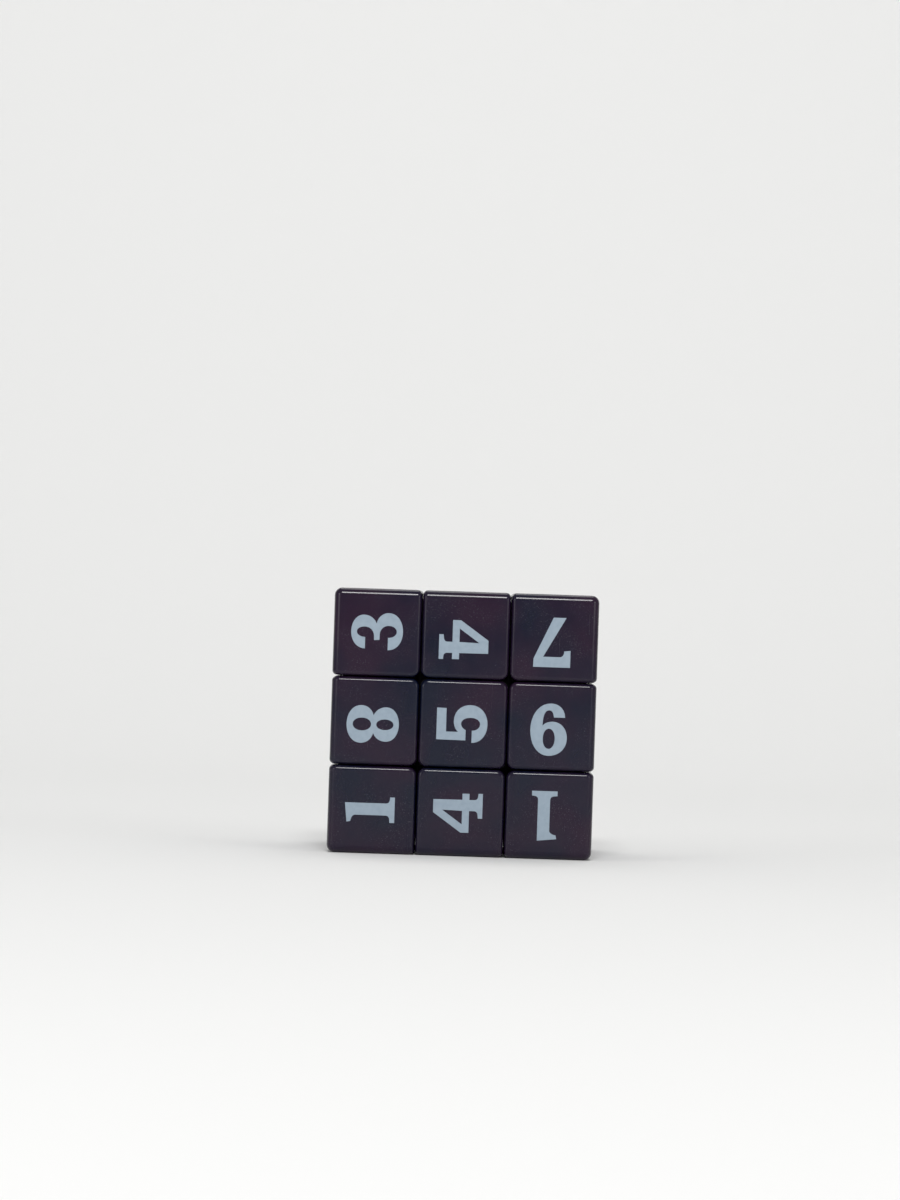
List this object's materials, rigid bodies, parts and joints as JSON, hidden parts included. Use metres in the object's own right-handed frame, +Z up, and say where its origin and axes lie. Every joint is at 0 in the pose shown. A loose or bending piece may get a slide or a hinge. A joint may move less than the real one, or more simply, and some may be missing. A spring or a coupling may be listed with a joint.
{
  "type": "sudoku cube puzzle",
  "caption": "Black turning puzzle cube with a pale digit printed on every tile; each face's layer spins on a sprung core while feet in a ball-shaped track hold the cubies in.",
  "frame": {"origin": "middle of the core, where the six turning axes cross, which is also the middle of the cube", "axes": "+Z up through the top face, -Y out of the front face that the picture shows, +X out of the right face"},
  "size_m": [0.053, 0.053, 0.053],
  "materials": {
    "shell_plastic": "semi-gloss black",
    "inner_plastic": "as moulded, black",
    "core_plastic": "as moulded, light grey",
    "zinc_steel": "zinc plated",
    "digit_ink": "pale blue-grey print"
  },
  "bodies": {
    "core": {"core": "core_plastic", "screw_top": "zinc_steel", "screw_bottom": "zinc_steel", "screw_front": "zinc_steel", "screw_back": "zinc_steel", "screw_left": "zinc_steel", "screw_right": "zinc_steel"},
    "centre_top": {"centre_base_top": "inner_plastic", "centre_cap_top": "shell_plastic"},
    "centre_bottom": {"centre_base_bottom": "inner_plastic", "centre_cap_bottom": "shell_plastic"},
    "centre_front": {"centre_base_front": "inner_plastic", "centre_cap_front": "shell_plastic"},
    "centre_back": {"centre_base_back": "inner_plastic", "centre_cap_back": "shell_plastic"},
    "centre_left": {"centre_base_left": "inner_plastic", "centre_cap_left": "shell_plastic"},
    "centre_right": {"centre_base_right": "inner_plastic", "centre_cap_right": "shell_plastic"},
    "edge_top_front": {"edge_shell_top_front": "shell_plastic", "edge_foot_top_front": "inner_plastic"},
    "edge_top_back": {"edge_shell_top_back": "shell_plastic", "edge_foot_top_back": "inner_plastic"},
    "edge_bottom_front": {"edge_shell_bottom_front": "shell_plastic", "edge_foot_bottom_front": "inner_plastic"},
    "edge_bottom_back": {"edge_shell_bottom_back": "shell_plastic", "edge_foot_bottom_back": "inner_plastic"},
    "edge_top_left": {"edge_shell_top_left": "shell_plastic", "edge_foot_top_left": "inner_plastic"},
    "edge_top_right": {"edge_shell_top_right": "shell_plastic", "edge_foot_top_right": "inner_plastic"},
    "edge_bottom_left": {"edge_shell_bottom_left": "shell_plastic", "edge_foot_bottom_left": "inner_plastic"},
    "edge_bottom_right": {"edge_shell_bottom_right": "shell_plastic", "edge_foot_bottom_right": "inner_plastic"},
    "edge_front_left": {"edge_shell_front_left": "shell_plastic", "edge_foot_front_left": "inner_plastic"},
    "edge_front_right": {"edge_shell_front_right": "shell_plastic", "edge_foot_front_right": "inner_plastic"},
    "edge_back_left": {"edge_shell_back_left": "shell_plastic", "edge_foot_back_left": "inner_plastic"},
    "edge_back_right": {"edge_shell_back_right": "shell_plastic", "edge_foot_back_right": "inner_plastic"},
    "corner_top_front_left": {"corner_shell_top_front_left": "shell_plastic", "corner_foot_top_front_left": "inner_plastic"},
    "corner_top_front_right": {"corner_shell_top_front_right": "shell_plastic", "corner_foot_top_front_right": "inner_plastic"},
    "corner_top_back_left": {"corner_shell_top_back_left": "shell_plastic", "corner_foot_top_back_left": "inner_plastic"},
    "corner_top_back_right": {"corner_shell_top_back_right": "shell_plastic", "corner_foot_top_back_right": "inner_plastic"},
    "corner_bottom_front_left": {"corner_shell_bottom_front_left": "shell_plastic", "corner_foot_bottom_front_left": "inner_plastic"},
    "corner_bottom_front_right": {"corner_shell_bottom_front_right": "shell_plastic", "corner_foot_bottom_front_right": "inner_plastic"},
    "corner_bottom_back_left": {"corner_shell_bottom_back_left": "shell_plastic", "corner_foot_bottom_back_left": "inner_plastic"},
    "corner_bottom_back_right": {"corner_shell_bottom_back_right": "shell_plastic", "corner_foot_bottom_back_right": "inner_plastic"}
  },
  "joints": [
    {"name": "top_turn", "type": "hinge", "parent": "core", "child": "centre_top", "pos_m": [0, 0, 0], "axis": [0, 0, 1], "continuous": true},
    {"name": "bottom_turn", "type": "hinge", "parent": "core", "child": "centre_bottom", "pos_m": [0, 0, 0], "axis": [0, 0, -1], "continuous": true},
    {"name": "front_turn", "type": "hinge", "parent": "core", "child": "centre_front", "pos_m": [0, 0, 0], "axis": [0, -1, 0], "continuous": true},
    {"name": "back_turn", "type": "hinge", "parent": "core", "child": "centre_back", "pos_m": [0, 0, 0], "axis": [0, 1, 0], "continuous": true},
    {"name": "left_turn", "type": "hinge", "parent": "core", "child": "centre_left", "pos_m": [0, 0, 0], "axis": [-1, 0, 0], "continuous": true},
    {"name": "right_turn", "type": "hinge", "parent": "core", "child": "centre_right", "pos_m": [0, 0, 0], "axis": [1, 0, 0], "continuous": true},
    {"name": "edge_top_front_with_front", "type": "hinge", "parent": "centre_top", "child": "edge_top_front", "pos_m": [0, 0, 0], "axis": [0, -1, 0], "continuous": true},
    {"name": "edge_top_back_with_back", "type": "hinge", "parent": "centre_top", "child": "edge_top_back", "pos_m": [0, 0, 0], "axis": [0, 1, 0], "continuous": true},
    {"name": "edge_bottom_front_with_bottom", "type": "hinge", "parent": "centre_front", "child": "edge_bottom_front", "pos_m": [0, 0, 0], "axis": [0, 0, -1], "continuous": true},
    {"name": "edge_bottom_back_with_bottom", "type": "hinge", "parent": "centre_back", "child": "edge_bottom_back", "pos_m": [0, 0, 0], "axis": [0, 0, -1], "continuous": true},
    {"name": "edge_top_left_with_left", "type": "hinge", "parent": "centre_top", "child": "edge_top_left", "pos_m": [0, 0, 0], "axis": [-1, 0, 0], "continuous": true},
    {"name": "edge_top_right_with_right", "type": "hinge", "parent": "centre_top", "child": "edge_top_right", "pos_m": [0, 0, 0], "axis": [1, 0, 0], "continuous": true},
    {"name": "edge_bottom_left_with_bottom", "type": "hinge", "parent": "centre_left", "child": "edge_bottom_left", "pos_m": [0, 0, 0], "axis": [0, 0, -1], "continuous": true},
    {"name": "edge_bottom_right_with_bottom", "type": "hinge", "parent": "centre_right", "child": "edge_bottom_right", "pos_m": [0, 0, 0], "axis": [0, 0, -1], "continuous": true},
    {"name": "edge_front_left_with_front", "type": "hinge", "parent": "centre_left", "child": "edge_front_left", "pos_m": [0, 0, 0], "axis": [0, -1, 0], "continuous": true},
    {"name": "edge_front_right_with_right", "type": "hinge", "parent": "centre_front", "child": "edge_front_right", "pos_m": [0, 0, 0], "axis": [1, 0, 0], "continuous": true},
    {"name": "edge_back_left_with_left", "type": "hinge", "parent": "centre_back", "child": "edge_back_left", "pos_m": [0, 0, 0], "axis": [-1, 0, 0], "continuous": true},
    {"name": "edge_back_right_with_back", "type": "hinge", "parent": "centre_right", "child": "edge_back_right", "pos_m": [0, 0, 0], "axis": [0, 1, 0], "continuous": true},
    {"name": "corner_top_front_left_with_top", "type": "hinge", "parent": "edge_front_left", "child": "corner_top_front_left", "pos_m": [0, 0, 0], "axis": [0, 0, 1], "continuous": true},
    {"name": "corner_top_front_right_with_top", "type": "hinge", "parent": "edge_front_right", "child": "corner_top_front_right", "pos_m": [0, 0, 0], "axis": [0, 0, 1], "continuous": true},
    {"name": "corner_top_back_left_with_top", "type": "hinge", "parent": "edge_back_left", "child": "corner_top_back_left", "pos_m": [0, 0, 0], "axis": [0, 0, 1], "continuous": true},
    {"name": "corner_top_back_right_with_top", "type": "hinge", "parent": "edge_back_right", "child": "corner_top_back_right", "pos_m": [0, 0, 0], "axis": [0, 0, 1], "continuous": true},
    {"name": "corner_bottom_front_left_with_bottom", "type": "hinge", "parent": "edge_front_left", "child": "corner_bottom_front_left", "pos_m": [0, 0, 0], "axis": [0, 0, -1], "continuous": true},
    {"name": "corner_bottom_front_right_with_bottom", "type": "hinge", "parent": "edge_front_right", "child": "corner_bottom_front_right", "pos_m": [0, 0, 0], "axis": [0, 0, -1], "continuous": true},
    {"name": "corner_bottom_back_left_with_bottom", "type": "hinge", "parent": "edge_back_left", "child": "corner_bottom_back_left", "pos_m": [0, 0, 0], "axis": [0, 0, -1], "continuous": true},
    {"name": "corner_bottom_back_right_with_bottom", "type": "hinge", "parent": "edge_back_right", "child": "corner_bottom_back_right", "pos_m": [0, 0, 0], "axis": [0, 0, -1], "continuous": true}
  ],
  "couplings": [
    {"joint": "edge_top_front_with_front", "follows": "front_turn", "ratio": 1},
    {"joint": "edge_top_back_with_back", "follows": "back_turn", "ratio": 1},
    {"joint": "edge_bottom_front_with_bottom", "follows": "bottom_turn", "ratio": 1},
    {"joint": "edge_bottom_back_with_bottom", "follows": "bottom_turn", "ratio": 1},
    {"joint": "edge_top_left_with_left", "follows": "left_turn", "ratio": 1},
    {"joint": "edge_top_right_with_right", "follows": "right_turn", "ratio": 1},
    {"joint": "edge_bottom_left_with_bottom", "follows": "bottom_turn", "ratio": 1},
    {"joint": "edge_bottom_right_with_bottom", "follows": "bottom_turn", "ratio": 1},
    {"joint": "edge_front_left_with_front", "follows": "front_turn", "ratio": 1},
    {"joint": "edge_front_right_with_right", "follows": "right_turn", "ratio": 1},
    {"joint": "edge_back_left_with_left", "follows": "left_turn", "ratio": 1},
    {"joint": "edge_back_right_with_back", "follows": "back_turn", "ratio": 1},
    {"joint": "corner_top_front_left_with_top", "follows": "top_turn", "ratio": 1},
    {"joint": "corner_top_front_right_with_top", "follows": "top_turn", "ratio": 1},
    {"joint": "corner_top_back_left_with_top", "follows": "top_turn", "ratio": 1},
    {"joint": "corner_top_back_right_with_top", "follows": "top_turn", "ratio": 1},
    {"joint": "corner_bottom_front_left_with_bottom", "follows": "bottom_turn", "ratio": 1},
    {"joint": "corner_bottom_front_right_with_bottom", "follows": "bottom_turn", "ratio": 1},
    {"joint": "corner_bottom_back_left_with_bottom", "follows": "bottom_turn", "ratio": 1},
    {"joint": "corner_bottom_back_right_with_bottom", "follows": "bottom_turn", "ratio": 1}
  ]
}
